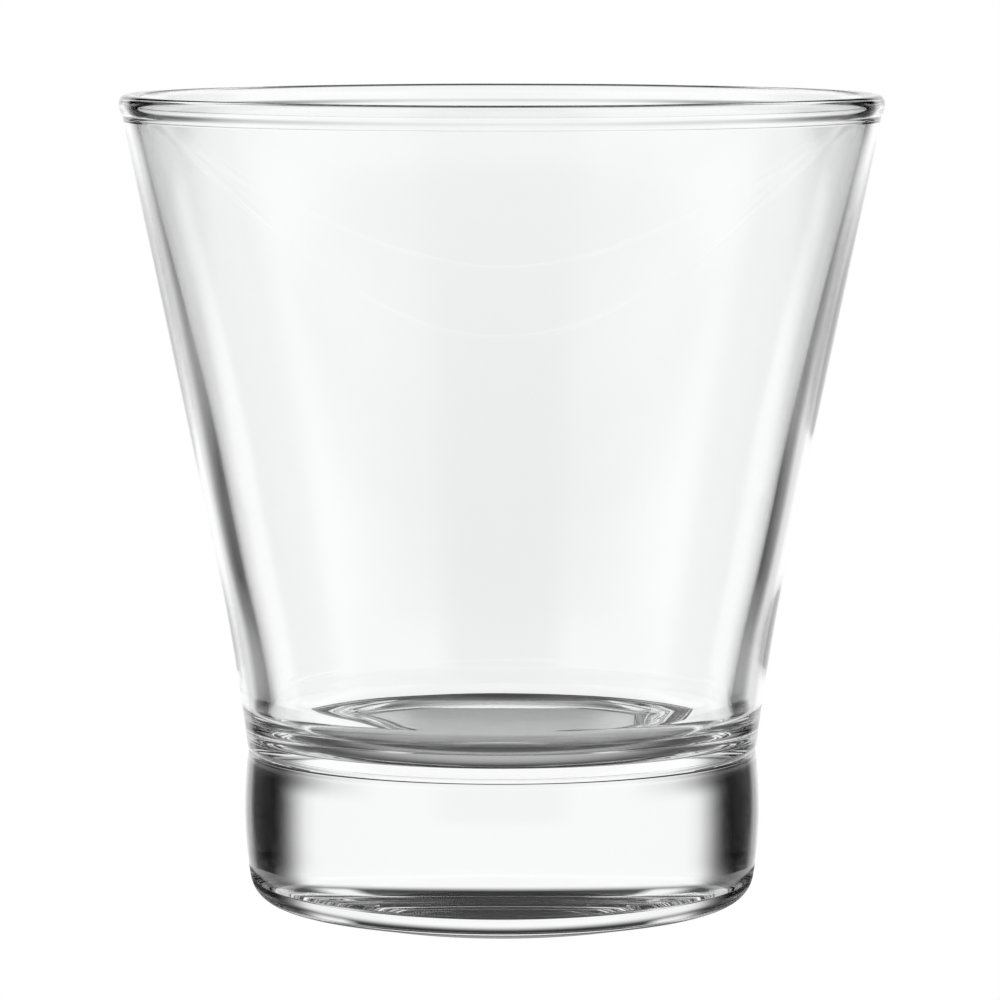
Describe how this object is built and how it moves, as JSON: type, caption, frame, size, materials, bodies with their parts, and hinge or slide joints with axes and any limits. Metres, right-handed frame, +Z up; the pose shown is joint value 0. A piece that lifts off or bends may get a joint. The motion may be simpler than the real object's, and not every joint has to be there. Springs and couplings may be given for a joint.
{
  "type": "cortado glass",
  "caption": "Clear flared coffee glass with a rounded rim bead, a thin wall and a thick solid foot with a shallow hollow underneath.",
  "frame": {"origin": "centre of the glass in the plane of its resting ring", "axes": "+Z up along the axis of the glass, from the foot to the rim"},
  "size_m": [0.066, 0.066, 0.0713],
  "materials": {
    "rim_glass": "clear fire-polished glass",
    "bowl_glass": "clear polished glass",
    "foot_glass": "clear polished glass"
  },
  "bodies": {
    "root": {"rim": "rim_glass", "bowl": "bowl_glass", "foot": "foot_glass"}
  },
  "joints": []
}
